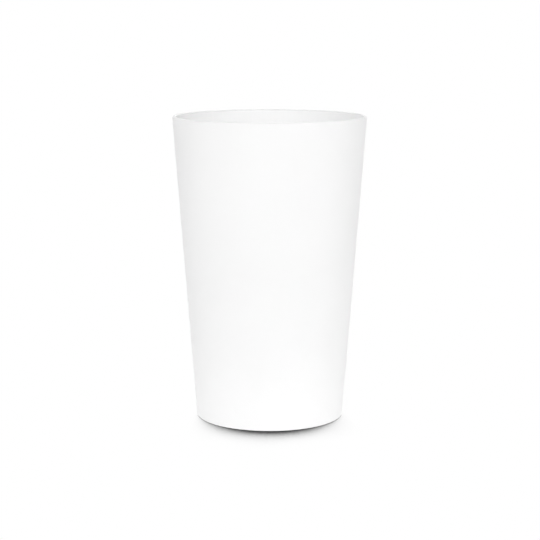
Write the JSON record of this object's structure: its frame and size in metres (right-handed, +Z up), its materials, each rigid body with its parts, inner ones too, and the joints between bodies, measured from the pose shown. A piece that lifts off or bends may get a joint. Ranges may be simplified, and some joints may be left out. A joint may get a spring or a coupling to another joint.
{
  "type": "reusable plastic cup",
  "caption": "Tapered drinking cup with a straight thin wall, a fully rounded lip, a hollow base on a foot ring, and stacking ribs inside.",
  "frame": {"origin": "centre of the foot ring, on the table", "axes": "+Z up along the cup's axis through the mouth; +X through the middle of one stacking rib"},
  "size_m": [0.0752, 0.0752, 0.118],
  "materials": {
    "polypropylene": "white polypropylene, as moulded, with a fine satin texture outside and a smoother inside"
  },
  "bodies": {
    "root": {"cup": "polypropylene"}
  },
  "joints": []
}
